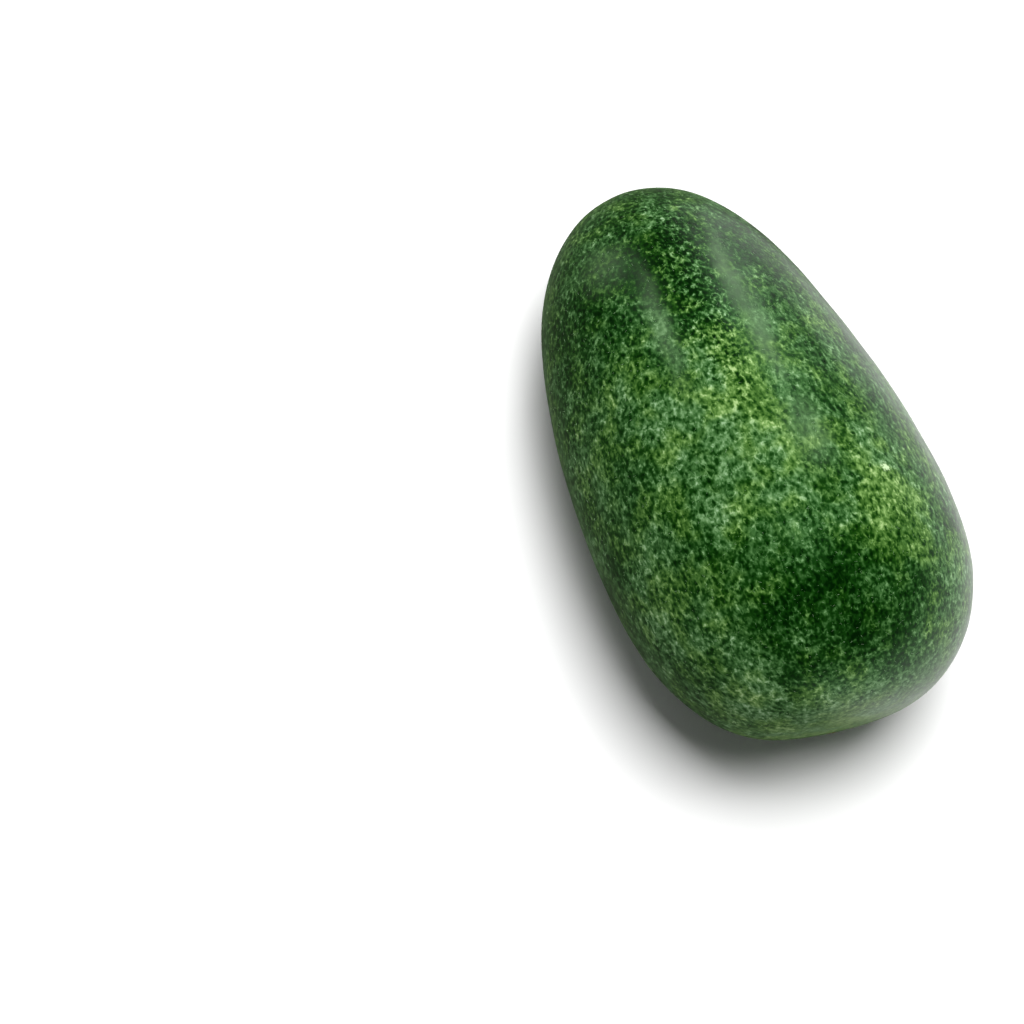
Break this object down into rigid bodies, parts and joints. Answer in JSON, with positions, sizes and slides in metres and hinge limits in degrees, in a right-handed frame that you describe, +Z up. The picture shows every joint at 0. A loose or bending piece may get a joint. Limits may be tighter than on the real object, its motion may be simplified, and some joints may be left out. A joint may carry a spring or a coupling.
{
  "type": "winter melon",
  "caption": "Whole winter melon (wax gourd), long and pear-shaped with blunt ends and a dark green mottled rind, lying on its flattened belly.",
  "frame": {"origin": "on the table, under the middle of the fruit's bounding box", "axes": "+X along the fruit from the stem end to the blossom end, +Y across it, +Z up from the table"},
  "size_m": [0.333, 0.1922, 0.1846],
  "materials": {
    "rind": "smooth hard rind, dark green with fine pale green mottling, thin waxy bloom and short stiff hairs, satin sheen"
  },
  "bodies": {
    "root": {"winter_melon": "rind"}
  },
  "joints": []
}
